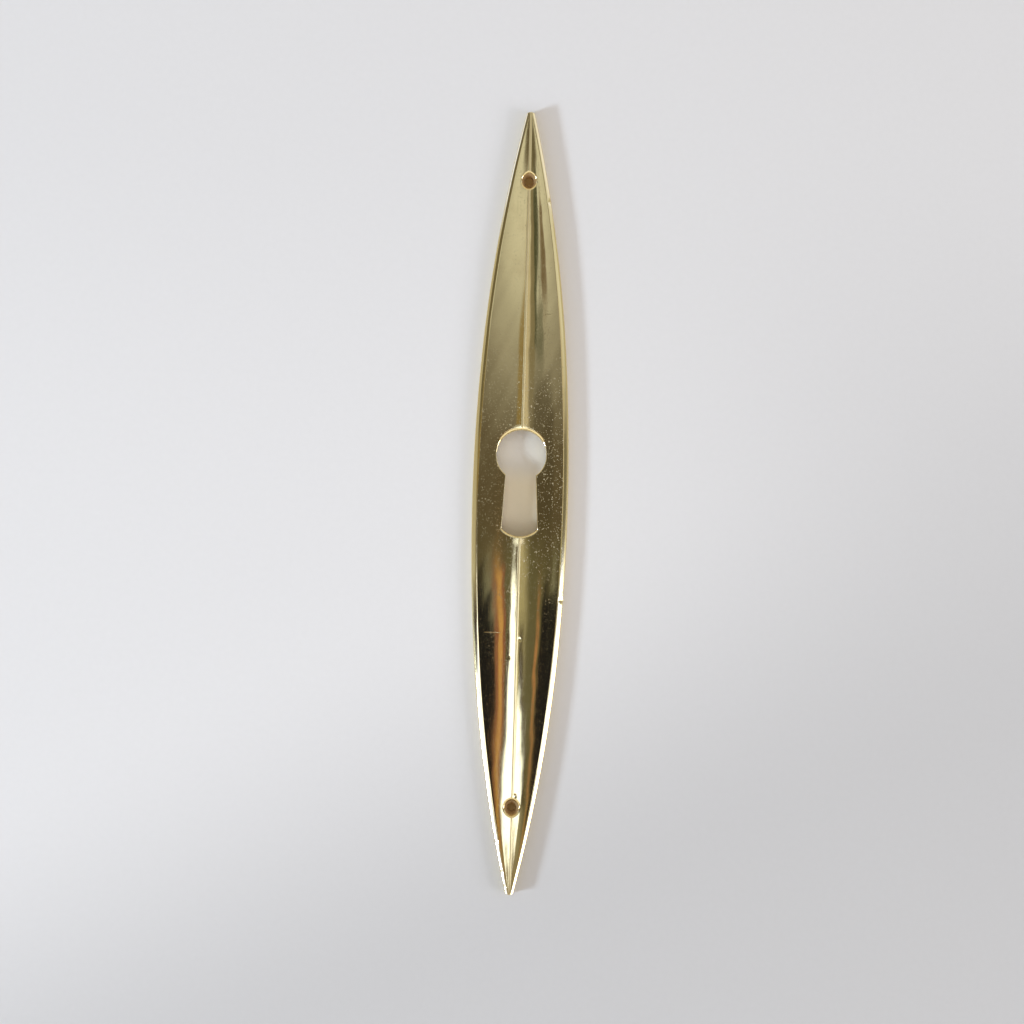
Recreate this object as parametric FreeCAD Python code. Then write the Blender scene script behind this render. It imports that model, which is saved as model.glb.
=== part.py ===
"""Keyhole escutcheon: a long spindle-shaped plate, hot-pressed in brass and hollow behind.

The plate lies on its rim and its solid ends at Z = 0, with its front facing +Z.
Its long axis is Y, and the round end of the keyhole is towards +Y.
The origin is at the middle of the outline, on the face that the rim rests on.
All sizes are in millimetres.
"""

import FreeCAD, Part
import math
import os

from FreeCAD import Vector

# Outline in plan
LENGTH = 150.0
WIDTH = 18.4
BELLY_RADIUS = 370.0
BELLY_REACH = 30.0
TIP_WIDTH = 1.4
NOSE_RADIUS = 1.3

# Section
EDGE_HEIGHT = 2.0
RIDGE_HEIGHT = 3.8
RIDGE_FADE = 0.1
WALL = 1.0
RIM_WALL = 1.0
HOLLOW_TO_PIN = 4.0

# Rounded bevel round the rim: its width at the middle and at the tips, its mean slope, and how
# much steeper it gets from its inner line to its outer one
BEVEL_WIDTH = 1.15
BEVEL_TIP_WIDTH = 0.5
BEVEL_ANGLE = 28.0
BEVEL_TURN = 28.0

# Keyhole
KEYHOLE_DIAMETER = 9.5
KEYHOLE_CENTRE = 9.25
SLOT_TOP_WIDTH = 5.75
SLOT_BOTTOM_WIDTH = 6.85
SLOT_CORNER_DEPTH = 14.1
SLOT_BOTTOM_BULGE = 1.4

# Pin holes: a plain bore of that length from the back, and above it the sink for the pin's head
PIN_TO_TIP = 15.0
PIN_SHIFT = 1.8
PIN_DIAMETER = 1.6
PIN_BORE_LENGTH = 1.05
PIN_SINK_ANGLE = 60.0

# How far the cutting shapes reach past the plate, and the sections that shape each half
OVERSHOOT = 0.3
SECTIONS_PER_HALF = 8


class Outline:
    """On each side a flat belly arc runs, tangent, into two tighter arcs that end at the tips."""

    def __init__(self):
        turn = math.asin(BELLY_REACH / BELLY_RADIUS)
        self.turn_x = math.cos(turn)
        self.turn_y = math.sin(turn)
        self.belly_x = WIDTH / 2 - BELLY_RADIUS
        joint_x = self.belly_x + BELLY_RADIUS * self.turn_x
        to_tip_x = TIP_WIDTH / 2 - joint_x
        to_tip_y = LENGTH / 2 - BELLY_REACH
        inward = to_tip_x * self.turn_x + to_tip_y * self.turn_y
        self.end_radius = -(to_tip_x ** 2 + to_tip_y ** 2) / (2 * inward)
        self.end_x = joint_x - self.end_radius * self.turn_x
        self.end_y = BELLY_REACH - self.end_radius * self.turn_y

    def half_width(self, y, inset=0.0):
        """Half the width at a station, of the outline moved inwards by the inset."""
        y = abs(y)
        belly = BELLY_RADIUS - inset
        if y <= belly * self.turn_y:
            return self.belly_x + math.sqrt(belly ** 2 - y ** 2)
        end = self.end_radius - inset
        return self.end_x + math.sqrt(end ** 2 - (y - self.end_y) ** 2)


OUTLINE = Outline()


def line(start, end):
    return Part.LineSegment(start, end).toShape()


def arc(start, through, end):
    return Part.Arc(start, through, end).toShape()


def stations(last):
    """Stations from one tip to the other, closer together towards the tips."""
    count = SECTIONS_PER_HALF
    return [last * math.sin(0.5 * math.pi * step / count) for step in range(-count, count + 1)]


def bevel_width(y):
    """The bevel narrows with the plate."""
    share = OUTLINE.half_width(y) / OUTLINE.half_width(0)
    return BEVEL_TIP_WIDTH + (BEVEL_WIDTH - BEVEL_TIP_WIDTH) * share


def wall_top(y):
    """Height of the rim's upright wall, where the bevel starts."""
    return EDGE_HEIGHT - bevel_width(y) * math.tan(math.radians(BEVEL_ANGLE))


def foot_width(y):
    """Half width between the bevels' inner lines, which stays above nothing at the tips."""
    width = OUTLINE.half_width(y) - bevel_width(y)
    return 0.5 * (width + math.hypot(width, RIDGE_FADE))


def ridge_rise(y):
    """The ridge keeps its steepness as the plate narrows, so it falls towards the tips."""
    return (RIDGE_HEIGHT - EDGE_HEIGHT) * foot_width(y) / foot_width(0)


def flank(side, y, half_width, foot_height, rise):
    """A hollow-ground flank: an arc that leaves the foot level and steepens up to the ridge."""
    radius = (half_width ** 2 + rise ** 2) / (2 * rise)
    middle = 0.5 * math.asin(half_width / radius)
    through_x = half_width - radius * math.sin(middle)
    through_z = foot_height + radius * (1 - math.cos(middle))
    foot = Vector(side * half_width, y, foot_height)
    return arc(foot, Vector(side * through_x, y, through_z), Vector(0, y, foot_height + rise))


def bevel(side, y):
    """The slightly rounded bevel from the top of the rim's wall to the foot of the flank."""
    outer = OUTLINE.half_width(y)
    inner = foot_width(y)
    low = wall_top(y)
    bulge = 0.5 * math.tan(math.radians(BEVEL_TURN) / 4)
    through_x = (outer + inner) / 2 + bulge * (EDGE_HEIGHT - low)
    through_z = (low + EDGE_HEIGHT) / 2 + bulge * (outer - inner)
    start = Vector(side * outer, y, low)
    return arc(start, Vector(side * through_x, y, through_z), Vector(side * inner, y, EDGE_HEIGHT))


def outer_section(y):
    half = OUTLINE.half_width(y)
    edges = []
    for side in (-1, 1):
        edges.append(line(Vector(side * half, y, -OVERSHOOT), Vector(side * half, y, wall_top(y))))
        edges.append(bevel(side, y))
        edges.append(flank(side, y, foot_width(y), EDGE_HEIGHT, ridge_rise(y)))
    edges.append(line(Vector(-half, y, -OVERSHOOT), Vector(half, y, -OVERSHOOT)))
    return Part.Wire(Part.__sortEdges__(edges))


def hollow_section(y):
    half = OUTLINE.half_width(y, RIM_WALL)
    ceiling = EDGE_HEIGHT - WALL
    edges = []
    for side in (-1, 1):
        edges.append(line(Vector(side * half, y, -OVERSHOOT), Vector(side * half, y, ceiling)))
        edges.append(flank(side, y, half, ceiling, ridge_rise(y)))
    edges.append(line(Vector(-half, y, -OVERSHOOT), Vector(half, y, -OVERSHOOT)))
    return Part.Wire(Part.__sortEdges__(edges))


def loft(section, last):
    return Part.makeLoft([section(y) for y in stations(last)], True, False)


def pressed_shell():
    """The pressed form: hollow behind, and solid at both ends, where the pins go through."""
    outside = loft(outer_section, LENGTH / 2)
    hollow_end = LENGTH / 2 - PIN_TO_TIP - abs(PIN_SHIFT) - HOLLOW_TO_PIN
    hollow = loft(hollow_section, hollow_end)
    ground = Part.makeBox(2 * WIDTH, 2 * LENGTH, 2 * OVERSHOOT, Vector(-WIDTH, -LENGTH, -2 * OVERSHOOT))
    return outside.cut([hollow, ground])


def nose_cutter(end):
    """What rounds off the two corners of a tip in plan."""
    centre = LENGTH / 2 - NOSE_RADIUS
    height = RIDGE_HEIGHT + OVERSHOOT
    size = 2 * NOSE_RADIUS
    corner = Vector(-size, centre, -OVERSHOOT)
    block = Part.makeBox(2 * size, size, height + OVERSHOOT, corner)
    round_end = Part.makeCylinder(NOSE_RADIUS, height + OVERSHOOT, Vector(0, centre, -OVERSHOOT))
    cutter = block.cut(round_end)
    return cutter if end > 0 else cutter.mirror(Vector(), Vector(0, 1, 0))


def keyhole():
    """A round hole that runs into a slot, which widens to a bowed bottom."""
    radius = KEYHOLE_DIAMETER / 2
    neck = SLOT_TOP_WIDTH / 2
    foot = SLOT_BOTTOM_WIDTH / 2
    neck_y = KEYHOLE_CENTRE - math.sqrt(radius ** 2 - neck ** 2)
    foot_y = KEYHOLE_CENTRE - SLOT_CORNER_DEPTH
    crown = Vector(0, KEYHOLE_CENTRE + radius, -OVERSHOOT)
    bottom = Vector(0, foot_y - SLOT_BOTTOM_BULGE, -OVERSHOOT)
    neck_left, neck_right = (Vector(side * neck, neck_y, -OVERSHOOT) for side in (-1, 1))
    foot_left, foot_right = (Vector(side * foot, foot_y, -OVERSHOOT) for side in (-1, 1))
    outline = Part.Wire([
        arc(neck_right, crown, neck_left),
        line(neck_left, foot_left),
        arc(foot_left, bottom, foot_right),
        line(foot_right, neck_right),
    ])
    return Part.Face(outline).extrude(Vector(0, 0, RIDGE_HEIGHT + 2 * OVERSHOOT))


def pin_hole(end):
    """A bore for the pin's shank, and the sink that seats its head."""
    y = PIN_SHIFT + end * (LENGTH / 2 - PIN_TO_TIP)
    radius = PIN_DIAMETER / 2
    depth = RIDGE_HEIGHT + OVERSHOOT - PIN_BORE_LENGTH
    spread = depth * math.tan(math.radians(PIN_SINK_ANGLE / 2))
    bore = Part.makeCylinder(radius, PIN_BORE_LENGTH + OVERSHOOT, Vector(0, y, -OVERSHOOT))
    sink = Part.makeCone(radius, radius + spread, depth, Vector(0, y, PIN_BORE_LENGTH))
    return bore.fuse(sink)


def escutcheon_plate():
    cutters = [keyhole()]
    for end in (1, -1):
        cutters += [nose_cutter(end), pin_hole(end)]
    return pressed_shell().cut(cutters).Solids[0]


def main():
    os.makedirs("parts", exist_ok=True)
    plate = escutcheon_plate()
    print(f"volume {plate.Volume:.1f} mm3, valid {plate.isValid()}, faces {len(plate.Faces)}")
    plate.exportStep("parts/escutcheon_plate.step")


main()
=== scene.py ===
"""A keyhole escutcheon in polished brass, lying face up on a pale table under soft studio light.

The plate's sizes are in millimetres and repeat those of its solid, apart from a bevel that is a
little steeper. The mesh takes the solid's form and adds rounded edges, soft waves and wear.
"""

import bpy
import math
import numpy as np

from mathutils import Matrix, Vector, geometry


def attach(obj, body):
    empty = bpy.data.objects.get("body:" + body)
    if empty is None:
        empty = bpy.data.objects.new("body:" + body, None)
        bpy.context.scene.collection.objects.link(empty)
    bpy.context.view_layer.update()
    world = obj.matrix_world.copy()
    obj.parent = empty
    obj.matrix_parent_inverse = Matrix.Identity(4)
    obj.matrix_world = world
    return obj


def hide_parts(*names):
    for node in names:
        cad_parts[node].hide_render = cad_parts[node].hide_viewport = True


MM = 0.001

# Outline in plan
LENGTH = 150.0
WIDTH = 18.4
BELLY_RADIUS = 370.0
BELLY_REACH = 30.0
TIP_WIDTH = 1.4
NOSE_RADIUS = 1.3

# Section
EDGE_HEIGHT = 2.0
RIDGE_HEIGHT = 3.8
RIDGE_FADE = 0.1
WALL = 1.0
RIM_WALL = 1.0
HOLLOW_REACH = 54.2
BEVEL_WIDTH = 1.15
BEVEL_TIP_WIDTH = 0.5
BEVEL_ANGLE = math.radians(31)
BEVEL_TURN = math.radians(18)

# Keyhole
KEYHOLE_RADIUS = 4.75
KEYHOLE_CENTRE = 9.25
SLOT_TOP_WIDTH = 5.75
SLOT_BOTTOM_WIDTH = 6.85
SLOT_CORNER_DEPTH = 14.1
SLOT_BOTTOM_BULGE = 1.4

# Pin holes: a bore, and above it the sink for the pin's head, whose edge is worn round
PIN_STATIONS = (61.8, -58.2)
PIN_RADIUS = 0.8
PIN_BORE_LENGTH = 1.05
PIN_SINK_SLOPE = 1 / math.tan(math.radians(30))
PIN_SINK_BLEND = 0.45
PIN_REACH = 2.3
PIN_SHELF_STEP = 0.08

# How far the edges are rounded: the rim, the keyhole, the hollow behind, the ridge and the crease
RIM_ROUND = 0.12
KEYHOLE_ROUND = 0.7
KEYHOLE_SIDE_ROUND = 0.16
KEYHOLE_FOOT_ROUND = 0.45
HOLLOW_ROUND = 0.35
RIDGE_BLEND = 0.11
CREASE_BLEND = 0.025

# From where to where along the plate the keyhole's edge grows rounder, towards its top and bottom
KEYHOLE_TOP_WEAR = (10.2, 12.4)
KEYHOLE_FOOT_WEAR = (-4.4, -5.8)

# Mesh spacing along and across the plate, and the turn past which an edge is shaded sharp
ROW_STEP = 0.4
COLUMNS = 22
RING_STEP = 0.25
SHARP_ANGLE = math.radians(50)

# How far the front reaches in from the holes' edges, how near a point counts as on the front, and
# the step over which the front's slopes are measured
HOLE_EDGE = 0.03
ON_FRONT = 0.001
SLOPE_STEP = 0.004

# Low waves left by pressing and polishing: height, wavelengths across and along, and phase
WAVES = (
    (0.0060, 11.0, 31.0, 0.4),
    (0.0035, 6.3, 17.0, 2.1),
    (0.0022, -4.1, 9.5, 4.4),
    (0.0009, 2.3, -5.2, 1.2),
)

# Dents: place, radius and depth
DENTS = (
    (8.45, -18.3, 0.38, 0.08),
    (-1.00, -29.3, 0.30, 0.025),
    (0.50, -25.9, 0.28, 0.030),
    (4.10, 57.9, 0.28, 0.08),
    (-2.65, -64.9, 0.25, 0.08),
    (-1.55, -70.7, 0.22, 0.07),
    (-1.05, -73.3, 0.20, 0.06),
    (0.62, -56.0, 0.24, 0.05),
)

# Scratches across the front: from x, to x, at y
SCRATCHES = ((-6.2, -3.1, -24.8), (3.9, 4.9, 36.3))

# The camera looks straight down, a little off the plate's middle and turned against it
CAMERA_PLACE = (-1.487, -1.670, 400.0)
CAMERA_TURN = math.radians(1.61)
FIELD_WIDTH = 196.2
FIELD_LEVEL = 1.4
SENSOR = 36.0


class Outline:
    """On each side a flat belly arc runs, tangent, into two tighter arcs that end at the tips."""

    def __init__(self):
        turn = math.asin(BELLY_REACH / BELLY_RADIUS)
        self.turn_x = math.cos(turn)
        self.turn_y = math.sin(turn)
        self.belly_x = WIDTH / 2 - BELLY_RADIUS
        joint_x = self.belly_x + BELLY_RADIUS * self.turn_x
        to_tip_x = TIP_WIDTH / 2 - joint_x
        to_tip_y = LENGTH / 2 - BELLY_REACH
        inward = to_tip_x * self.turn_x + to_tip_y * self.turn_y
        self.end_radius = -(to_tip_x ** 2 + to_tip_y ** 2) / (2 * inward)
        self.end_x = joint_x - self.end_radius * self.turn_x
        self.end_y = BELLY_REACH - self.end_radius * self.turn_y

    def half_width(self, y, inset=0.0):
        """Half the width at a station, of the outline moved inwards by the inset."""
        y = np.abs(y)
        belly = BELLY_RADIUS - inset
        end = self.end_radius - inset
        in_belly = self.belly_x + np.sqrt(belly ** 2 - y ** 2)
        in_end = self.end_x + np.sqrt(end ** 2 - (y - self.end_y) ** 2)
        return np.where(y <= belly * self.turn_y, in_belly, in_end)

    def nosed_half_width(self, y, inset=0.0):
        """The same, with the tips rounded off in plan."""
        pointed = self.half_width(y, inset)
        past = np.maximum(np.abs(y) - (LENGTH / 2 - NOSE_RADIUS), 0.0)
        nose = np.sqrt(np.maximum((NOSE_RADIUS - inset) ** 2 - past ** 2, 0.0))
        return np.where(past > 0, np.minimum(pointed, nose), pointed)


OUTLINE = Outline()


def smooth_min(a, b, blend):
    """The lower of two heights, with the corner between them rounded."""
    return np.minimum(a, b) - np.maximum(blend - np.abs(a - b), 0.0) ** 2 / (4 * blend)


def bevel_width(y):
    """The bevel narrows with the plate."""
    share = OUTLINE.half_width(y) / OUTLINE.half_width(0.0)
    return BEVEL_TIP_WIDTH + (BEVEL_WIDTH - BEVEL_TIP_WIDTH) * share


def wall_top(y):
    """Height of the rim's upright wall, where the bevel starts."""
    return EDGE_HEIGHT - bevel_width(y) * math.tan(BEVEL_ANGLE)


def foot_width(y):
    """Half width between the bevels' inner lines, which stays above nothing at the tips."""
    width = OUTLINE.half_width(y) - bevel_width(y)
    return 0.5 * (width + np.hypot(width, RIDGE_FADE))


def ridge_rise(y):
    """The ridge keeps its steepness as the plate narrows, so it falls towards the tips."""
    return (RIDGE_HEIGHT - EDGE_HEIGHT) * foot_width(y) / foot_width(0.0)


def flanks(x, y, foot, rise, foot_height, blend):
    """Two hollow-ground flanks: arcs that leave the foot level and steepen up to the ridge."""
    radius = (foot ** 2 + rise ** 2) / (2 * rise)
    sides = []
    for inwards in (foot - x, foot + x):
        run = np.clip(inwards, 0.0, radius)
        sides.append(foot_height + radius - np.sqrt(radius ** 2 - run ** 2))
    return smooth_min(sides[0], sides[1], blend)


def bevel(x, y):
    """The slightly rounded bevel, carried on as a straight slope above its inner line."""
    width = bevel_width(y)
    chord = np.hypot(width, width * math.tan(BEVEL_ANGLE))
    radius = chord / 2 / math.sin(BEVEL_TURN / 2)
    first = BEVEL_ANGLE - BEVEL_TURN / 2
    outwards = np.abs(x) - foot_width(y)
    slope_sine = np.clip(math.sin(first) + outwards / radius, -0.999, 0.999)
    arc = EDGE_HEIGHT - radius * (math.cos(first) - np.sqrt(1 - slope_sine ** 2))
    return np.where(outwards < 0, EDGE_HEIGHT - outwards * math.tan(first), arc)


def keyhole_ring():
    """The keyhole's outline as evenly spaced points, anticlockwise from the slot's right corner."""
    neck = SLOT_TOP_WIDTH / 2
    foot = SLOT_BOTTOM_WIDTH / 2
    neck_y = KEYHOLE_CENTRE - math.sqrt(KEYHOLE_RADIUS ** 2 - neck ** 2)
    foot_y = KEYHOLE_CENTRE - SLOT_CORNER_DEPTH
    neck_turn = math.asin(neck / KEYHOLE_RADIUS)
    bow_radius = (foot ** 2 + SLOT_BOTTOM_BULGE ** 2) / (2 * SLOT_BOTTOM_BULGE)
    bow_turn = math.asin(foot / bow_radius)
    side = math.hypot(foot - neck, neck_y - foot_y)

    def steps(length):
        count = math.ceil(length / RING_STEP)
        return [index / count for index in range(count)]

    points = [(foot + (neck - foot) * t, foot_y + (neck_y - foot_y) * t) for t in steps(side)]
    sweep = 2 * (math.pi - neck_turn)
    for t in steps(KEYHOLE_RADIUS * sweep):
        turn = neck_turn + sweep * t
        y = KEYHOLE_CENTRE - KEYHOLE_RADIUS * math.cos(turn)
        points.append((KEYHOLE_RADIUS * math.sin(turn), y))
    points += [(-neck - (foot - neck) * t, neck_y - (neck_y - foot_y) * t) for t in steps(side)]
    bow_y = foot_y - SLOT_BOTTOM_BULGE + bow_radius
    for t in steps(2 * bow_radius * bow_turn):
        turn = bow_turn * (2 * t - 1)
        points.append((bow_radius * math.sin(turn), bow_y - bow_radius * math.cos(turn)))
    return np.array(points)


def circle_ring(centre_y, radius, count=72):
    """Points round a circle on the ridge, anticlockwise."""
    turns = 2 * math.pi * np.arange(count) / count
    return np.stack([radius * np.cos(turns), centre_y + radius * np.sin(turns)], -1)


KEYHOLE_RING = keyhole_ring()
PIN_RINGS = [circle_ring(station, PIN_RADIUS) for station in PIN_STATIONS]


def ring_distance(points, ring):
    """Distance from each point to a closed ring of straight steps."""
    nearest = np.full(len(points), np.inf)
    for start, end in zip(ring, np.roll(ring, -1, axis=0)):
        step = end - start
        share = np.clip((points - start) @ step / (step @ step), 0, 1)
        gap = np.linalg.norm(points - start - share[:, None] * step, axis=1)
        nearest = np.minimum(nearest, gap)
    return nearest


def inside_ring(points, ring):
    """True for each point that a closed ring goes round."""
    inside = np.zeros(len(points), bool)
    for (ax, ay), (bx, by) in zip(ring, np.roll(ring, -1, axis=0)):
        spans = (points[:, 1] < ay) != (points[:, 1] < by)
        if spans.any():
            crossing = ax + (points[:, 1] - ay) * (bx - ax) / (by - ay if by != ay else 1.0)
            inside ^= spans & (points[:, 0] < crossing)
    return inside


def waves(x, y):
    """Height of the low waves."""
    total = np.zeros_like(x)
    for height, across, along, phase in WAVES:
        total = total + height * np.sin(2 * math.pi * (x / across + y / along) + phase)
    return total


def dents(x, y):
    """Depth of the dents."""
    total = np.zeros_like(x)
    for dent_x, dent_y, radius, depth in DENTS:
        total = total + depth * np.exp(-((x - dent_x) ** 2 + (y - dent_y) ** 2) / radius ** 2)
    return total


def rise(value, start, end):
    """0 before start and 1 past end, smoothly. The start may be the larger."""
    share = np.clip((value - start) / (end - start), 0.0, 1.0)
    return share * share * (3 - 2 * share)


def keyhole_round(y):
    """The keyhole's edge is worn rounder at its top and its bottom than at its sides."""
    top = (KEYHOLE_ROUND - KEYHOLE_SIDE_ROUND) * rise(y, *KEYHOLE_TOP_WEAR)
    foot = (KEYHOLE_FOOT_ROUND - KEYHOLE_SIDE_ROUND) * rise(y, *KEYHOLE_FOOT_WEAR)
    return KEYHOLE_SIDE_ROUND + top + foot


def keyhole_drop(x, y):
    """How far the surface falls away over the keyhole's rounded edge."""
    drop = np.zeros_like(x)
    reach = KEYHOLE_RADIUS + KEYHOLE_ROUND
    near = (np.abs(x) < reach) & (y < KEYHOLE_CENTRE + reach)
    near &= y > KEYHOLE_CENTRE - SLOT_CORNER_DEPTH - SLOT_BOTTOM_BULGE - KEYHOLE_ROUND
    if near.any():
        gap = ring_distance(np.stack([x[near], y[near]], -1), KEYHOLE_RING)
        radius = keyhole_round(y[near])
        back = np.clip(radius - gap, 0.0, radius)
        drop[near] = radius - np.sqrt(radius ** 2 - back ** 2)
    return drop


def front(x, y):
    """Height of the plate's front."""
    flat = flanks(x, y, foot_width(y), ridge_rise(y), EDGE_HEIGHT, RIDGE_BLEND)
    height = smooth_min(flat, bevel(x, y), CREASE_BLEND) + waves(x, y) - dents(x, y)
    for station in PIN_STATIONS:
        sink = PIN_BORE_LENGTH + (np.hypot(x, y - station) - PIN_RADIUS) * PIN_SINK_SLOPE
        height = smooth_min(height, sink, PIN_SINK_BLEND)
    return height - keyhole_drop(x, y)


def back(x, y):
    """Height of the hollow's ceiling behind the plate."""
    half = OUTLINE.half_width(y, RIM_WALL)
    return flanks(x, y, half, ridge_rise(y), EDGE_HEIGHT - WALL, RIDGE_BLEND)


def outline_ring(inset):
    """The outline in plan, moved inwards, anticlockwise from the lower tip."""
    nose_start = LENGTH / 2 - NOSE_RADIUS
    count = math.ceil(nose_start / ROW_STEP)
    straight = np.linspace(0.0, nose_start, count)
    turns = np.radians(np.arange(6, 91, 6))
    curved = nose_start + (NOSE_RADIUS - inset) * np.sin(turns)
    quarter = np.concatenate([straight, curved])
    right_y = np.concatenate([-quarter[::-1], quarter[1:]])
    right_x = OUTLINE.nosed_half_width(right_y, inset)
    right_x[0] = right_x[-1] = 0.0
    xs = np.concatenate([right_x, -right_x[-2:0:-1]])
    ys = np.concatenate([right_y, right_y[-2:0:-1]])
    return np.stack([xs, ys], -1)


def hollow_ring(inset):
    """The hollow's outline behind the plate, moved further inwards, anticlockwise."""
    reach = HOLLOW_REACH - inset
    ys = np.linspace(-reach, reach, 2 * math.ceil(HOLLOW_REACH / ROW_STEP) + 1)
    sides = OUTLINE.half_width(ys, RIM_WALL + inset)
    across = np.linspace(-1.0, 1.0, 16)[1:-1]
    top = np.stack([-across * sides[-1], np.full(len(across), reach)], -1)
    right = np.stack([sides, ys], -1)
    return np.concatenate([right, top, -right, -top])


def round_over(first, corner, last, steps=4):
    """Values along a rounded corner between two lines, ends included."""
    shares = np.linspace(0, 1, steps + 1)
    return [(1 - t) ** 2 * first + 2 * t * (1 - t) * corner + t ** 2 * last for t in shares]


class Surface:
    """Collects points and faces, and gives points that coincide one number."""

    def __init__(self):
        self.points = []
        self.faces = []
        self.known = {}

    def number(self, point):
        key = tuple(round(float(value), 4) for value in point)
        if key not in self.known:
            self.known[key] = len(self.points)
            self.points.append(tuple(float(value) for value in point))
        return self.known[key]

    def add_face(self, numbers):
        corners = []
        for number in numbers:
            if number not in corners:
                corners.append(number)
        if len(corners) > 2:
            self.faces.append(corners)

    def strip(self, lower, upper):
        """Faces between two rings of as many points, which face out if both go anticlockwise."""
        low = [self.number(point) for point in lower]
        high = [self.number(point) for point in upper]
        count = len(low)
        for index in range(count):
            after = (index + 1) % count
            self.add_face([low[index], low[after], high[after], high[index]])

    def fill(self, rings, loose, height, upward):
        """Triangles inside the first ring and outside the others, through the loose points."""
        flat = np.concatenate([*rings, loose])
        edges, start = [], 0
        for ring in rings:
            count = len(ring)
            edges += [(start + index, start + (index + 1) % count) for index in range(count)]
            start += count
        vectors = [Vector(point) for point in flat]
        made, _, triangles, originals, _, _ = geometry.delaunay_2d_cdt(vectors, edges, [], 0, 1e-6)
        exact = np.array([
            flat[source[0]] if source else tuple(point) for point, source in zip(made, originals)
        ])
        triangles = np.array(triangles)
        middles = exact[triangles].mean(axis=1)
        keep = inside_ring(middles, rings[0])
        for ring in rings[1:]:
            keep &= ~inside_ring(middles, ring)
        heights = height(exact[:, 0], exact[:, 1])
        numbers = [self.number((x, y, z)) for (x, y), z in zip(exact, heights)]
        for corners in triangles[keep]:
            order = corners if upward else corners[::-1]
            self.add_face([numbers[corner] for corner in order])


def with_height(ring, height):
    """A ring of points in space, from a ring in plan and a height, or one height for each point."""
    return np.column_stack([ring, np.broadcast_to(height, len(ring))])


def ring_heights(ring, surface):
    return surface(ring[:, 0], ring[:, 1])


def keyhole_shelves():
    """Points at several distances round the keyhole, closer together on its rounded edge."""
    ring = KEYHOLE_RING
    along = np.roll(ring, -1, axis=0) - np.roll(ring, 1, axis=0)
    outward = np.stack([along[:, 1], -along[:, 0]], -1)
    outward /= np.linalg.norm(outward, axis=1)[:, None]
    turns = np.append(np.radians(np.arange(80, 0, -10)), 0.0)
    gaps = [KEYHOLE_ROUND * (1 - math.sin(turn)) for turn in turns] + [1.25 * KEYHOLE_ROUND]
    fan = np.radians(np.arange(-100, 101, 12)) - math.pi / 2
    round_corner = np.stack([np.cos(fan), np.sin(fan)], -1)
    corner_y = KEYHOLE_CENTRE - SLOT_CORNER_DEPTH
    found = []
    for gap in gaps:
        candidates = [ring + outward * gap]
        for side in (-1, 1):
            corner = np.array([side * SLOT_BOTTOM_WIDTH / 2, corner_y])
            candidates.append(corner + gap * round_corner)
        points = np.concatenate(candidates)
        clear = ring_distance(points, ring) > 0.97 * gap
        found.append(points[clear & ~inside_ring(points, ring)])
    return np.concatenate(found)


def pin_shelves(station):
    """Rings of points that follow a pin hole's sink and its worn edge."""
    radii = np.arange(PIN_RADIUS + PIN_SHELF_STEP, PIN_REACH, PIN_SHELF_STEP)
    return np.concatenate([circle_ring(station, radius, 96) for radius in radii])


def front_columns(y):
    """Distances from the ridge, at one station, that follow the ridge, the flank and the bevel."""
    foot = float(foot_width(y))
    edge = float(OUTLINE.nosed_half_width(y, RIM_ROUND))
    fine = min(1.0, foot / 1.2)
    ridge = fine * np.array([0.0, 0.015, 0.035, 0.06, 0.09, 0.13, 0.18, 0.25])
    crease = foot + fine * np.array([-0.16, -0.09, -0.05, -0.02, 0.0, 0.02, 0.05, 0.09])
    flank_count = max(2, round(COLUMNS * foot / 8.0))
    flank = np.linspace(0.35 * fine, foot - 0.25 * fine, flank_count)
    slope = foot + (edge - foot) * np.linspace(0.14, 0.97, 9)
    columns = np.unique(np.round(np.concatenate([ridge, crease, flank, slope]), 4))
    return columns[(columns >= 0) & (columns < edge - 0.015)]


def front_points():
    """The points that shape the front, row by row, clear of the holes' own points."""
    last = LENGTH / 2 - RIM_ROUND
    inner = np.arange(-last + 2.4, last - 2.4 + ROW_STEP / 2, ROW_STEP)
    tip = np.arange(0.08, 2.4, 0.12)
    rows = np.concatenate([-last + tip, inner, last - tip[::-1]])
    points = []
    for y in rows:
        columns = front_columns(y)
        points += [(x, y) for x in columns] + [(-x, y) for x in columns if x > 0]
    points = np.array(points)
    clear = 1.4 * KEYHOLE_ROUND
    near_hole = np.hypot(points[:, 0], points[:, 1] - KEYHOLE_CENTRE) < 20
    keep = np.ones(len(points), bool)
    close = ring_distance(points[near_hole], KEYHOLE_RING) < clear
    keep[near_hole] = ~(close | inside_ring(points[near_hole], KEYHOLE_RING))
    for station in PIN_STATIONS:
        keep &= np.hypot(points[:, 0], points[:, 1] - station) > PIN_REACH + 0.1
    return points[keep]


def back_points():
    """A plain grid for the hollow's ceiling, clear of the holes."""
    reach = HOLLOW_REACH - HOLLOW_ROUND
    points = []
    for y in np.arange(-reach + ROW_STEP, reach - ROW_STEP / 2, 2 * ROW_STEP):
        edge = float(OUTLINE.half_width(y, RIM_WALL)) - HOLLOW_ROUND
        count = max(1, round(edge / (2 * ROW_STEP)))
        for x in np.linspace(-edge, edge, 2 * count + 1)[1:-1]:
            points.append((x, y))
    points = np.array(points)
    keep = ~inside_ring(points, KEYHOLE_RING) & (ring_distance(points, KEYHOLE_RING) > 0.2)
    return points[keep]


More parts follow.
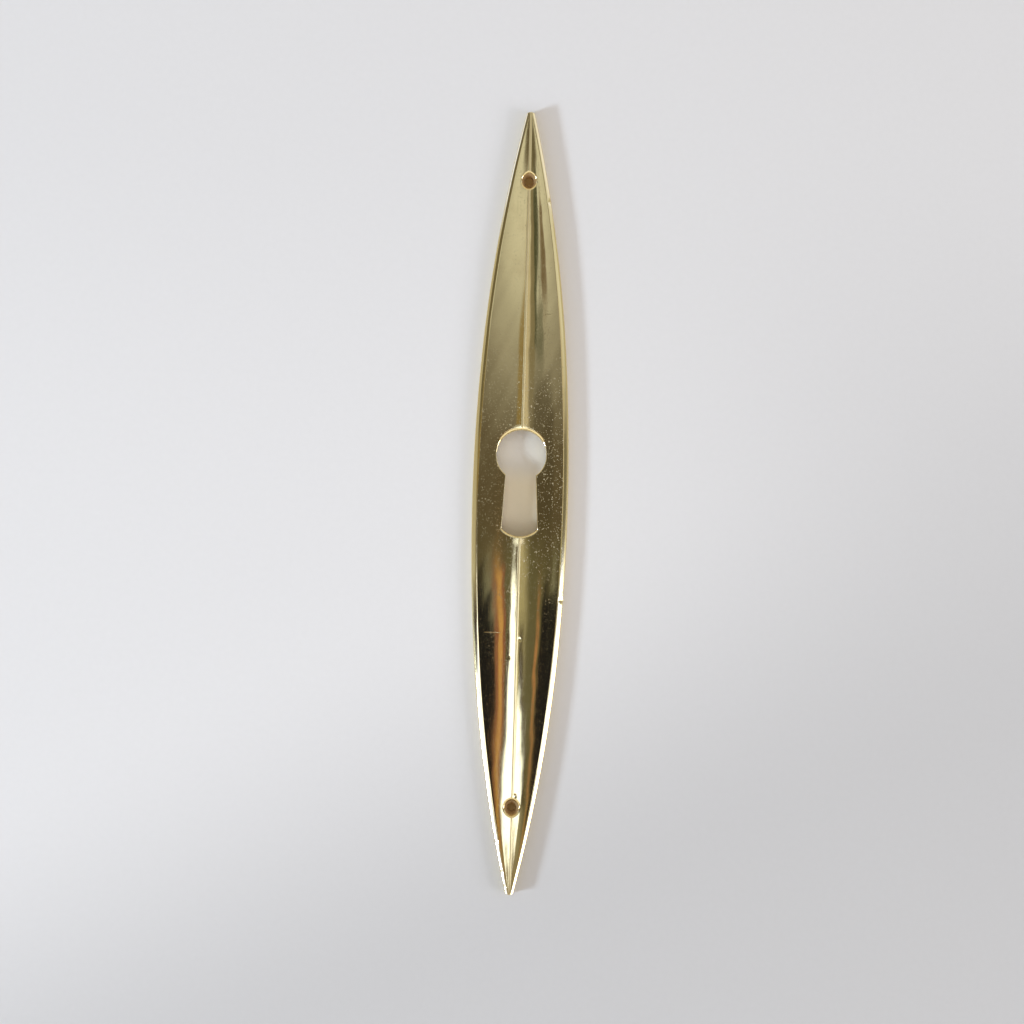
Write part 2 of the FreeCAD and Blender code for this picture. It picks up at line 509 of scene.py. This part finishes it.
def add_rim(surface):
    """The rounded outer edge, the upright wall and the rounded foot that the plate rests on."""
    top = outline_ring(RIM_ROUND)
    edge = outline_ring(0.0)
    top_z = ring_heights(top, front)
    corner_z = wall_top(edge[:, 1])
    insets = round_over(RIM_ROUND, 0.0, 0.0)
    heights = round_over(top_z, corner_z, corner_z - RIM_ROUND)
    rings = [with_height(outline_ring(inset), height) for inset, height in zip(insets, heights)]
    rings.append(with_height(edge, 0.5 * corner_z))
    insets = round_over(0.0, 0.0, RIM_ROUND)
    heights = round_over(RIM_ROUND, 0.0, 0.0)
    rings += [with_height(outline_ring(inset), height) for inset, height in zip(insets, heights)]
    for upper, lower in zip(rings, rings[1:]):
        surface.strip(lower, upper)


def add_hollow(surface):
    """The flat foot, the hollow's wall with its rounded corner, and the ceiling."""
    foot_ring = hollow_ring(0.0)
    rings = [outline_ring(RIM_ROUND), foot_ring, *PIN_RINGS]
    surface.fill(rings, np.empty((0, 2)), lambda x, y: 0 * x, False)
    inner = hollow_ring(HOLLOW_ROUND)
    ceiling = ring_heights(inner, back)
    insets = round_over(0.0, 0.0, HOLLOW_ROUND)
    heights = round_over(ceiling - HOLLOW_ROUND, ceiling, ceiling)
    rings = [with_height(foot_ring, 0.0)]
    rings += [with_height(hollow_ring(inset), height) for inset, height in zip(insets, heights)]
    for lower, upper in zip(rings, rings[1:]):
        surface.strip(upper, lower)
    surface.fill([inner, KEYHOLE_RING], back_points(), back, False)


def add_front(surface):
    """The front, and the walls of the holes down to the hollow or to the foot."""
    loose = [front_points(), keyhole_shelves()] + [pin_shelves(station) for station in PIN_STATIONS]
    rings = [outline_ring(RIM_ROUND), KEYHOLE_RING, *PIN_RINGS]
    surface.fill(rings, np.concatenate(loose), front, True)
    bottoms = [ring_heights(KEYHOLE_RING, back)] + [0.0 for _ in PIN_RINGS]
    for hole, bottom_height in zip([KEYHOLE_RING, *PIN_RINGS], bottoms):
        top = with_height(hole, ring_heights(hole, front))
        bottom = with_height(hole, bottom_height)
        levels = [top + (bottom - top) * share for share in (0.0, 0.3, 0.65, 1.0)]
        for upper, lower in zip(levels, levels[1:]):
            surface.strip(upper, lower)


def front_normals(x, y):
    """Directions square to the front, from its slopes."""
    step = SLOPE_STEP
    slope_x = (front(x + step, y) - front(x - step, y)) / (2 * step)
    slope_y = (front(x, y + step) - front(x, y - step)) / (2 * step)
    normals = np.stack([-slope_x, -slope_y, np.ones_like(x)], -1)
    return normals / np.linalg.norm(normals, axis=1)[:, None]


def shading_normals(mesh, points, front_count):
    """A direction for each face corner: exact on the front, and split at sharp edges elsewhere."""
    normals = np.array([corner.vector[:] for corner in mesh.corner_normals])
    x, y, z = points[:, 0], points[:, 1], points[:, 2]
    gap = np.full(len(points), np.inf)
    for ring in (KEYHOLE_RING, *PIN_RINGS):
        gap = np.minimum(gap, ring_distance(points[:, :2], ring))
    exact = (np.arange(len(points)) < front_count) & (gap > HOLE_EDGE)
    exact &= np.abs(z - front(x, y)) < ON_FRONT
    vertices = np.zeros(len(mesh.loops), int)
    mesh.loops.foreach_get("vertex_index", vertices)
    on_front = exact[vertices]
    normals[on_front] = front_normals(x[vertices[on_front]], y[vertices[on_front]])
    return normals


def make_plate():
    """The whole plate as one closed mesh."""
    surface = Surface()
    add_front(surface)
    front_count = len(surface.points)
    add_rim(surface)
    add_hollow(surface)
    points = np.array(surface.points)
    mesh = bpy.data.meshes.new("escutcheon")
    in_metres = [tuple(MM * value for value in point) for point in surface.points]
    mesh.from_pydata(in_metres, [], surface.faces)
    mesh.update()
    mesh.shade_smooth()
    mesh.set_sharp_from_angle(angle=SHARP_ANGLE)
    normals = shading_normals(mesh, points, front_count)
    mesh.normals_split_custom_set([tuple(normal) for normal in normals])
    plate = bpy.data.objects.new("escutcheon", mesh)
    bpy.context.collection.objects.link(plate)
    return plate


class Graph:
    """Adds nodes to one shader tree, and takes numbers, colours and sockets alike as inputs."""

    def __init__(self, tree):
        self.tree = tree
        tree.nodes.clear()

    def feed(self, socket, value):
        if isinstance(value, bpy.types.NodeSocket):
            self.tree.links.new(value, socket)
        else:
            socket.default_value = value

    def node(self, kind, inputs=None, **settings):
        made = self.tree.nodes.new(kind)
        for name, value in settings.items():
            setattr(made, name, value)
        for name, value in (inputs or {}).items():
            self.feed(made.inputs[name], value)
        return made

    def math(self, operation, *values):
        made = self.node("ShaderNodeMath", operation=operation)
        for socket, value in zip(made.inputs, values):
            self.feed(socket, value)
        return made.outputs[0]

    def add(self, a, b):
        return self.math("ADD", a, b)

    def less(self, a, b):
        return self.math("SUBTRACT", a, b)

    def times(self, a, b):
        return self.math("MULTIPLY", a, b)

    def away(self, value, centre=0.0):
        """How far a value is from a centre, on either side."""
        return self.math("ABSOLUTE", self.add(value, -centre))

    def length(self, across, along):
        squares = self.add(self.times(across, across), self.times(along, along))
        return self.math("SQRT", squares)

    def largest(self, *values):
        found = values[0]
        for value in values[1:]:
            found = self.math("MAXIMUM", found, value)
        return found

    def fade(self, value, start, end):
        """0 before start and 1 past end, smoothly. The start may be the larger."""
        inputs = {"Value": value, "From Min": start, "From Max": end}
        made = self.node("ShaderNodeMapRange", inputs, interpolation_type="SMOOTHSTEP")
        return made.outputs["Result"]

    def mix(self, share, below, above):
        made = self.node("ShaderNodeMix", data_type="RGBA")
        self.feed(made.inputs[0], share)
        self.feed(made.inputs[6], below)
        self.feed(made.inputs[7], above)
        return made.outputs[2]

    def both(self, *shares):
        """All the shares multiplied."""
        total = shares[0]
        for share in shares[1:]:
            total = self.times(total, share)
        return total

    def noise(self, vector, scale, detail=2.0, roughness=0.5, distortion=0.0):
        inputs = {"Vector": vector, "Scale": scale, "Detail": detail}
        inputs |= {"Roughness": roughness, "Distortion": distortion}
        return self.node("ShaderNodeTexNoise", inputs).outputs["Fac"]

    def stretch(self, vector, scale, turn=0.0):
        inputs = {"Vector": vector, "Scale": scale, "Rotation": (0, 0, turn)}
        return self.node("ShaderNodeMapping", inputs).outputs[0]


def light(red, green, blue):
    return (red, green, blue, 1.0)


# The studio's colours, as light
DARK_ROOM = light(0.102, 0.083, 0.058)
DARK_SPOT = light(0.060, 0.050, 0.036)
NORTH_GLOW = light(0.68, 0.69, 0.69)
BEAM = light(0.095, 0.075, 0.042)
BROWN_SHADE = light(0.170, 0.132, 0.095)
GREEN_SHADE = light(0.070, 0.078, 0.052)
NORTH_EAST = light(0.225, 0.200, 0.145)
SIDE_WALL = light(0.48, 0.45, 0.38)
GOLD_PATCH = light(0.27, 0.205, 0.085)
WEST_SHADE = light(0.15, 0.13, 0.085)
EAST_EDGE = light(0.56, 0.51, 0.44)
EAST_SHADE = light(0.18, 0.17, 0.14)
EAST_WALL = light(0.74, 0.75, 0.74)
EAST_GLOW = light(0.95, 0.98, 1.25)
RIM_GLOW = light(1.02, 1.16, 1.90)
PALE_WALL = light(0.71, 0.625, 0.51)
SOUTH_GLOW = light(1.05, 0.98, 0.90)
OLIVE = light(0.125, 0.118, 0.075)
PALE_OLIVE = light(0.40, 0.38, 0.27)
SOUTH_TAN = light(0.30, 0.28, 0.21)
SOUTH_FLOOR = light(0.24, 0.18, 0.12)
WINDOW = light(1.90, 2.10, 2.60)
RIM_WINDOW = light(1.04, 1.20, 2.05)
PALE_STRIP = light(0.66, 0.62, 0.50)
SEAM = light(0.045, 0.030, 0.020)
RED_BROWN = light(0.25, 0.105, 0.075)
ORANGE = light(0.57, 0.34, 0.140)
DIM_ORANGE = light(0.42, 0.225, 0.120)
GOLDEN = light(0.50, 0.33, 0.10)
BLACK = light(0.012, 0.012, 0.016)
GREY_STREAK = light(0.33, 0.35, 0.31)
BACKDROP = light(0.80, 0.80, 0.79)

# The dark room's centre, and the glints' centres and radii, in degrees east and north
ROOM_CENTRE = (-4.0, -3.0)
GLINTS = (
    ((-14.0, -2.3), (8.0, 0.30)),
    ((-20.0, -3.5), (5.5, 0.28)),
    ((7.0, -1.9), (4.0, 0.32)),
)


class Sky:
    """Paints the studio by direction: degrees east of overhead, and degrees north of it."""

    def __init__(self, graph):
        self.graph = graph
        place = graph.node("ShaderNodeTexCoord").outputs["Generated"]
        parts = graph.node("ShaderNodeSeparateXYZ", {"Vector": place})
        x, y, z = parts.outputs[0], parts.outputs[1], parts.outputs[2]
        per_degree = 180 / math.pi
        self.lift = z
        self.east = graph.times(graph.math("ARCTAN2", x, z), per_degree)
        self.north = graph.times(graph.math("ARCSINE", y), per_degree)
        self.sideways = graph.away(self.east)
        self.left = graph.math("LESS_THAN", self.east, ROOM_CENTRE[0])
        self.right = graph.less(1.0, self.left)
        self.colour = DARK_ROOM

    def paint(self, colour, *shares):
        """Lays a colour over what is there, as strongly as the shares multiplied."""
        self.colour = self.graph.mix(self.graph.both(*shares), self.colour, colour)

    def ellipse(self, centre, radii, power=2.0):
        """1 on an ellipse and less inside it. A higher power makes it squarer."""
        graph = self.graph
        across = graph.math("DIVIDE", graph.away(self.east, centre[0]), radii[0])
        along = graph.math("DIVIDE", graph.away(self.north, centre[1]), radii[1])
        total = graph.add(graph.math("POWER", across, power), graph.math("POWER", along, power))
        return graph.math("POWER", total, 1 / power)

    def blot(self, centre, radii):
        """A squarish spot with soft edges."""
        return self.graph.fade(self.ellipse(centre, radii, 3.0), 1.0, 0.75)

    def band(self, value, low, high, soft):
        """1 between two values, fading over the soft width outside them."""
        graph = self.graph
        return graph.both(graph.fade(value, low - soft, low), graph.fade(value, high + soft, high))

    def past(self, start):
        """Degrees sideways past a start, on either side, and 0 before it."""
        return self.graph.largest(self.graph.add(self.sideways, -start), 0.0)


def paint_north(sky):
    """A pale ceiling that grows lighter to the north, a dark beam, and dark things hung under it."""
    graph = sky.graph
    sky.paint(NORTH_GLOW, graph.fade(sky.north, 0.5, 12.5))
    beam_ends = graph.fade(sky.sideways, 54.0, 40.0)
    sky.paint(BEAM, sky.band(sky.north, 13.4, 17.8, 1.1), beam_ends, 0.95)
    sky.paint(PALE_WALL, graph.fade(sky.north, 18.0, 40.0))
    sky.paint(DARK_SPOT, sky.blot((25.0, 1.8), (15.0, 3.4)), 0.55)
    corner = graph.both(sky.band(sky.east, 36.5, 43.5, 1.5), sky.band(sky.north, 5.5, 12.5, 2.5))
    sky.paint(NORTH_EAST, corner)
    sky.paint(BROWN_SHADE, sky.blot((20.5, 9.3), (5.5, 2.2)))
    sky.paint(GREEN_SHADE, sky.blot((31.0, 10.6), (7.0, 2.6)))
    sky.paint(GREEN_SHADE, sky.blot((29.5, 6.6), (6.5, 1.2)), 0.75)
    sky.paint(GREEN_SHADE, sky.blot((35.2, 8.4), (1.8, 2.6)), 0.9)
    tilted = graph.add(sky.north, graph.times(sky.east, 0.292))
    streak = graph.fade(graph.away(tilted, 17.65), 0.75, 0.35)
    sky.paint(NORTH_GLOW, streak, sky.band(sky.east, 20.0, 32.0, 2.0), 0.85)


def paint_walls(sky):
    """The walls to the west and the east, which the bevels and the ridge's two sides reflect."""
    graph = sky.graph
    by_top_tip = sky.band(sky.north, 18.5, 25.5, 3.0)
    sky.paint(SIDE_WALL, graph.fade(sky.east, -47.0, -60.0))
    sky.paint(GOLD_PATCH, sky.blot((-50.0, 4.6), (8.5, 4.6)), 0.85)
    sky.paint(WEST_SHADE, sky.blot((-57.0, 8.5), (8.0, 6.0)))
    sky.paint(WEST_SHADE, sky.blot((-56.5, 17.5), (11.5, 9.5)))
    sky.paint(RIM_GLOW, graph.fade(sky.east, -65.0, -69.0), by_top_tip)
    sky.paint(EAST_EDGE, sky.band(sky.east, 45.0, 60.0, 3.0), graph.fade(sky.north, 12.0, 9.0))
    sky.paint(EAST_SHADE, graph.fade(sky.east, 49.5, 53.0), graph.fade(sky.north, 6.5, 2.5))
    sky.paint(EAST_WALL, graph.fade(sky.east, 50.0, 58.0), graph.fade(sky.north, 4.0, 11.0))
    sky.paint(SIDE_WALL, graph.fade(sky.east, 64.0, 74.0))
    sky.paint(EAST_GLOW, graph.fade(sky.east, 56.0, 62.0), by_top_tip)


def paint_floor(sky):
    """The floor of the room towards the south, between the windows."""
    graph = sky.graph
    south = graph.fade(sky.north, 0.0, -2.5)
    middle = graph.both(graph.fade(sky.east, 45.0, 37.0), graph.fade(sky.east, -47.0, -40.0))
    sky.paint(OLIVE, south, middle)
    east = graph.both(graph.fade(sky.east, 34.0, 44.0), graph.fade(sky.east, 55.0, 50.0))
    sky.paint(PALE_OLIVE, south, east)
    sky.paint(SOUTH_TAN, graph.fade(sky.north, -9.8, -11.0), graph.fade(sky.sideways, 40.0, 30.0))


def paint_windows(sky):
    """White windows round the dark room, with a seam inside them and a floor below them."""
    graph = sky.graph
    room_left = sky.ellipse(ROOM_CENTRE, (38.0, 8.5), 2.5)
    room_right = sky.ellipse(ROOM_CENTRE, (50.0, 8.5), 2.5)
    room = graph.add(graph.times(sky.left, room_left), graph.times(sky.right, room_right))
    outside = graph.fade(room, 0.985, 1.02)
    seam = graph.both(graph.fade(room, 0.88, 0.94), graph.fade(sky.north, -3.8, -5.2))
    sky.paint(SEAM, seam, graph.fade(sky.north, -11.2, -10.4))

    west_end = graph.math("MINIMUM", graph.times(sky.past(46.5), 0.9), 4.0)
    sill = graph.add(graph.add(sky.north, west_end), graph.times(sky.past(51.0), 0.2))
    left_top = graph.fade(sill, -1.8, -2.5)
    sky.paint(WINDOW, outside, graph.fade(sky.east, -14.0, -17.0), left_top)
    lowered = graph.add(sky.north, graph.times(graph.fade(sky.east, 55.0, 49.0), 4.6))
    right_top = graph.fade(lowered, -2.3, -3.0)
    right_ends = graph.both(graph.fade(sky.east, 25.0, 29.0), graph.fade(sky.east, 84.0, 66.0))
    sky.paint(WINDOW, outside, right_top, right_ends)

    strip = graph.both(sky.band(sky.east, 46.8, 50.0, 1.0), graph.fade(sky.north, -10.2, -8.8))
    sky.paint(PALE_STRIP, strip, graph.fade(sky.north, -4.0, -6.0))
    sky.paint(RIM_WINDOW, graph.fade(sky.sideways, 50.0, 54.0), outside, left_top, sky.left)
    sky.paint(RIM_WINDOW, sky.band(sky.east, 54.0, 66.0, 4.0), outside, right_top)
    lower_edge = graph.add(sky.north, graph.both(sky.past(26.0), 0.07, sky.left))
    floor_ends = graph.fade(sky.sideways, 56.0, 46.0)
    sky.paint(SOUTH_FLOOR, graph.fade(lower_edge, -12.7, -13.3), floor_ends)
    sky.paint(SOUTH_GLOW, graph.fade(sky.north, -20.0, -38.0))


def paint_ring(sky):
    """What looks down from overhead: a dark disc in an orange ring, with a few grey glints."""
    graph = sky.graph
    ring = sky.ellipse((-4.0, -5.0), (28.8, 5.4))
    started = graph.fade(sky.north, -1.4, -2.8)
    started_right = graph.largest(sky.left, graph.fade(sky.north, -3.0, -4.0))
    around = graph.both(graph.fade(ring, 0.56, 0.68), graph.fade(ring, 1.14, 1.08))
    sky.paint(RED_BROWN, around, started, sky.left)
    left_glow = graph.both(graph.fade(ring, 0.76, 0.83), graph.fade(ring, 1.01, 0.97), started)
    sky.paint(ORANGE, left_glow, sky.left)
    right_glow = graph.both(graph.fade(ring, 0.88, 0.93), graph.fade(ring, 1.06, 1.00))
    sky.paint(DIM_ORANGE, right_glow, started_right, sky.right)
    sky.paint(GOLDEN, left_glow, graph.fade(sky.north, -8.8, -9.6), 0.7)
    disc = graph.both(graph.fade(ring, 0.66, 0.56), graph.fade(sky.north, -1.2, -2.4))
    disc_right = graph.both(graph.fade(ring, 0.87, 0.80), graph.fade(sky.north, -1.8, -3.2))
    sky.paint(BLACK, graph.largest(disc, graph.times(disc_right, sky.right)))
    for centre, radii in GLINTS:
        sky.paint(GREY_STREAK, graph.fade(sky.ellipse(centre, radii), 1.2, 0.4))


def make_world():
    """The studio round the plate. The camera sees a plain pale backdrop in its place."""
    world = bpy.data.worlds.new("studio")
    bpy.context.scene.world = world
    world.use_nodes = True
    graph = Graph(world.node_tree)
    sky = Sky(graph)
    paint_north(sky)
    paint_walls(sky)
    paint_floor(sky)
    paint_windows(sky)
    paint_ring(sky)
    sky.paint(PALE_WALL, graph.fade(sky.lift, 0.16, 0.05))
    rays = graph.node("ShaderNodeLightPath").outputs["Is Camera Ray"]
    shown = graph.mix(rays, sky.colour, BACKDROP)
    background = graph.node("ShaderNodeBackground", {"Color": shown, "Strength": 1.0})
    graph.node("ShaderNodeOutputWorld", {"Surface": background.outputs[0]})


BRASS = light(0.905, 0.770, 0.420)
DULL_BRASS = light(0.62, 0.47, 0.24)
DUST = light(0.52, 0.47, 0.35)
PIN_BROWN = light(0.50, 0.33, 0.15)

# Polishing lines: turn and scale across them
POLISHING_LINES = ((0.5, 3.2), (-0.9, 2.3), (1.45, 4.0))

# Where the ridge is rubbed beside the keyhole: place along the plate and reach across it
RUBBED_SPOTS = ((14.3, 2.3), (-7.2, 1.6))
RUBBED_LENGTH = 1.2

# Heights of the marks in the bump, in metres
SCRATCH_HEIGHT = -0.0000012
GRAIN_HEIGHT = 0.0000009
DUST_HEIGHT = 0.00001


def specks(graph, place, scale, largest):
    """Round grains scattered over the surface: 1 on a grain and 0 between them."""
    cells = graph.node("ShaderNodeTexVoronoi", {"Vector": place, "Scale": scale, "Randomness": 1.0})
    size = graph.fade(graph.noise(place, 0.7 * scale, detail=1.0), 0.42, 0.66)
    past = graph.less(cells.outputs["Distance"], graph.times(size, largest))
    return graph.fade(past, 0.0, -0.06)


def dust_cover(graph, place, x, y, z):
    """Dust lies on the flanks, mostly round the middle and right of the keyhole."""
    middle = graph.both(graph.fade(y, -26.0, -6.0), graph.fade(y, 38.0, 18.0))
    rightmost = graph.fade(x, -5.0, 4.5)
    share = graph.add(0.07, graph.times(middle, graph.add(0.13, graph.times(rightmost, 0.21))))
    coarse = graph.times(specks(graph, place, 1.5, 0.26), 1.4)
    grains = graph.largest(coarse, specks(graph, place, 3.8, 0.40))
    return graph.both(grains, share, graph.fade(z, 1.80, 1.97))


def in_pin_holes(graph, x, y):
    """1 in the pin holes and 0 past their edges."""
    along = graph.math("MINIMUM", *[graph.away(y, station) for station in PIN_STATIONS])
    return graph.fade(graph.length(x, along), 1.45, 1.25)


def scratch_marks(graph, place, x, y):
    """Polishing lines in three directions, and two deeper scratches."""
    marks = []
    for turn, scale in POLISHING_LINES:
        along = graph.stretch(place, (scale, 0.10, 0.4), turn)
        lines = graph.noise(along, 1.0, detail=2.0, roughness=0.7)
        marks.append(graph.fade(lines, 0.62, 0.74))
    for left, right, station in SCRATCHES:
        across = graph.fade(graph.away(y, station), 0.12, 0.03)
        left_end = graph.fade(x, left - 0.3, left + 0.3)
        right_end = graph.fade(x, right + 0.3, right - 0.3)
        marks.append(graph.both(across, left_end, right_end, 4.0))
    return graph.largest(*marks)


def rubbed_ridge(graph, x, y):
    """The ridge is rubbed dull along its very top, and more where it meets the keyhole."""
    rubbed = graph.fade(graph.away(x, 0.08), 0.34, 0.16)
    for station, reach in RUBBED_SPOTS:
        across = graph.math("DIVIDE", x, reach)
        along = graph.math("DIVIDE", graph.add(y, -station), RUBBED_LENGTH)
        rubbed = graph.largest(rubbed, graph.fade(graph.length(across, along), 1.0, 0.2))
    return rubbed


def brass():
    """Polished brass with fine scratches, a worn ridge, a little tarnish and specks of dust."""
    material = bpy.data.materials.new("polished_brass")
    material.use_nodes = True
    graph = Graph(material.node_tree)
    metres = graph.node("ShaderNodeTexCoord").outputs["Object"]
    place = graph.stretch(metres, (1000, 1000, 1000))
    parts = graph.node("ShaderNodeSeparateXYZ", {"Vector": place})
    x, y, z = parts.outputs[0], parts.outputs[1], parts.outputs[2]

    clouds = graph.noise(place, 0.22, detail=5.0, roughness=0.6)
    grain = graph.noise(place, 7.0, detail=4.0, roughness=0.7)
    hidden = graph.fade(z, 1.75, 0.95)
    dust = dust_cover(graph, place, x, y, z)
    sunk = in_pin_holes(graph, x, y)
    scratches = scratch_marks(graph, place, x, y)
    rubbed = rubbed_ridge(graph, x, y)

    cloudy = graph.times(graph.fade(clouds, 0.48, 0.78), 0.22)
    tarnish = graph.largest(cloudy, graph.times(hidden, 0.55))
    colour = graph.mix(tarnish, BRASS, DULL_BRASS)
    colour = graph.mix(dust, colour, DUST)
    colour = graph.mix(sunk, colour, PIN_BROWN)

    height = graph.add(graph.times(scratches, SCRATCH_HEIGHT), graph.times(grain, GRAIN_HEIGHT))
    height = graph.add(height, graph.times(dust, DUST_HEIGHT))
    bump = graph.node("ShaderNodeBump", {"Height": height, "Strength": 0.6, "Distance": 1.0})

    roughness = graph.add(0.05, graph.times(clouds, 0.04))
    roughness = graph.add(roughness, graph.times(scratches, 0.04))
    roughness = graph.add(roughness, graph.times(graph.largest(hidden, rubbed, sunk), 0.27))
    roughness = graph.add(roughness, graph.times(dust, 0.45))
    metallic = graph.less(1.0, graph.largest(graph.times(dust, 0.8), graph.times(sunk, 0.6)))
    inputs = {"Base Color": colour, "Metallic": metallic, "Roughness": roughness}
    inputs["Normal"] = bump.outputs[0]
    shader = graph.node("ShaderNodeBsdfPrincipled", inputs)
    graph.node("ShaderNodeOutputMaterial", {"Surface": shader.outputs[0]})
    return material


TABLE = light(0.865, 0.855, 0.840)
# Painted light under the keyhole: warm light thrown back by the brass
PAINTED_BRASS_GLOW = light(0.97, 0.885, 0.71)
# Painted shade under the pin holes, warmed by painted light off the brass
PAINTED_PIN_HOLE_SHADE = light(0.85, 0.62, 0.27)
# Black, mixed in for the table's painted shade and for its grain
TABLE_SHADE = light(0.0, 0.0, 0.0)
TABLE_HALF_WIDTH = 2.0


def table_top():
    """A matt pale table, with painted shade that darkens it a little towards the front, the right
    and the far side.
    """
    material = bpy.data.materials.new("pale_table")
    material.use_nodes = True
    graph = Graph(material.node_tree)
    place = graph.node("ShaderNodeTexCoord").outputs["Object"]
    parts = graph.node("ShaderNodeSeparateXYZ", {"Vector": place})
    x, y = parts.outputs[0], parts.outputs[1]
    # Painted shade: the table is darker towards the front, the right and the far side, as if less
    # light fell there
    painted_front_shade = graph.fade(graph.add(y, graph.times(x, -0.45)), -0.010, -0.085)
    painted_far_shade = graph.fade(y, 0.0, 0.08)
    painted_right_shade = graph.both(graph.fade(x, -0.005, 0.100), graph.less(1.0, painted_front_shade))
    painted_right_shade = graph.times(painted_right_shade, graph.less(1.0, graph.times(painted_far_shade, 0.85)))
    grain = graph.noise(place, 900.0, detail=3.0)

    # Painted light: a warm glow under the keyhole for light off the brass, painted shade under the
    # pin holes
    sideways = graph.away(x)
    along = graph.away(y, 0.004)
    keyhole = graph.both(graph.fade(sideways, 0.0075, 0.006), graph.fade(along, 0.014, 0.012))
    keyhole = graph.times(keyhole, graph.add(0.4, graph.times(graph.fade(y, 0.008, 0.003), 0.6)))
    # Painted shade seen through the pin holes
    along = graph.math("MINIMUM", *[graph.away(y, MM * station) for station in PIN_STATIONS])
    pin = graph.both(graph.fade(along, 0.0022, 0.0018), graph.fade(sideways, 0.0022, 0.0018))
    colour = graph.mix(keyhole, TABLE, PAINTED_BRASS_GLOW)
    colour = graph.mix(pin, colour, PAINTED_PIN_HOLE_SHADE)
    # Lay the painted shade and the grain over the colour
    for shade, strength in ((painted_front_shade, 0.24), (painted_right_shade, 0.15), (painted_far_shade, 0.04), (grain, 0.03)):
        colour = graph.mix(graph.times(shade, strength), colour, TABLE_SHADE)
    inputs = {"Base Color": colour, "Roughness": 0.85, "Specular IOR Level": 0.2}
    shader = graph.node("ShaderNodeBsdfPrincipled", inputs)
    graph.node("ShaderNodeOutputMaterial", {"Surface": shader.outputs[0]})
    return material


def make_table():
    half = TABLE_HALF_WIDTH
    mesh = bpy.data.meshes.new("table_top")
    points = [(-half, -half, 0), (half, -half, 0), (half, half, 0), (-half, half, 0)]
    mesh.from_pydata(points, [], [(0, 1, 2, 3)])
    mesh.materials.append(table_top())
    table = bpy.data.objects.new("table_top", mesh)
    bpy.context.collection.objects.link(table)


# Lamps: name, azimuth anticlockwise from +X, elevation, distance, size, power and colour
LAMPS = (
    ("key_lamp", 199, 20.7, 1.5, (0.30, 0.14), 14.7, (0.80, 0.97, 1.16)),
    ("fill_lamp", -20, 23.0, 1.6, (0.75, 0.50), 7.0, (1.0, 0.97, 0.92)),
)


def make_lamp(name, azimuth, elevation, distance, size, power, colour):
    """A soft rectangular lamp that faces the plate."""
    data = bpy.data.lights.new(name, "AREA")
    data.color = colour
    data.shape = "RECTANGLE"
    data.size, data.size_y = size
    data.energy = power
    lamp = bpy.data.objects.new(name, data)
    turn, lift = math.radians(azimuth), math.radians(elevation)
    level = math.cos(lift)
    away = Vector((math.cos(turn) * level, math.sin(turn) * level, math.sin(lift)))
    lamp.location = away * distance
    lamp.rotation_euler = away.to_track_quat("Z", "Y").to_euler()
    bpy.context.collection.objects.link(lamp)


def make_camera():
    data = bpy.data.cameras.new("camera")
    data.sensor_width = SENSOR
    data.lens = SENSOR * (CAMERA_PLACE[2] - FIELD_LEVEL) / FIELD_WIDTH
    data.clip_start = 0.01
    camera = bpy.data.objects.new("camera", data)
    camera.location = tuple(MM * value for value in CAMERA_PLACE)
    camera.rotation_euler = (0, 0, CAMERA_TURN)
    bpy.context.collection.objects.link(camera)
    bpy.context.scene.camera = camera


def corners(box):
    return [list(corner) for corner in box]


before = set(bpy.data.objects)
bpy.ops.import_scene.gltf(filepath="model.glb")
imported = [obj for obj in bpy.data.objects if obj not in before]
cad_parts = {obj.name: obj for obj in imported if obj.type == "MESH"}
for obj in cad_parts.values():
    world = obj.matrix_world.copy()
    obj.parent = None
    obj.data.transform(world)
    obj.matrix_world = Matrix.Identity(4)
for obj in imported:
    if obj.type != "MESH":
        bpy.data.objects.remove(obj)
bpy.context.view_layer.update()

plate = make_plate()
plate.data.materials.append(brass())
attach(plate, "root")
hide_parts("escutcheon_plate")

make_table()
make_world()
for lamp in LAMPS:
    make_lamp(*lamp)
make_camera()
bpy.context.scene.view_settings.view_transform = "Standard"
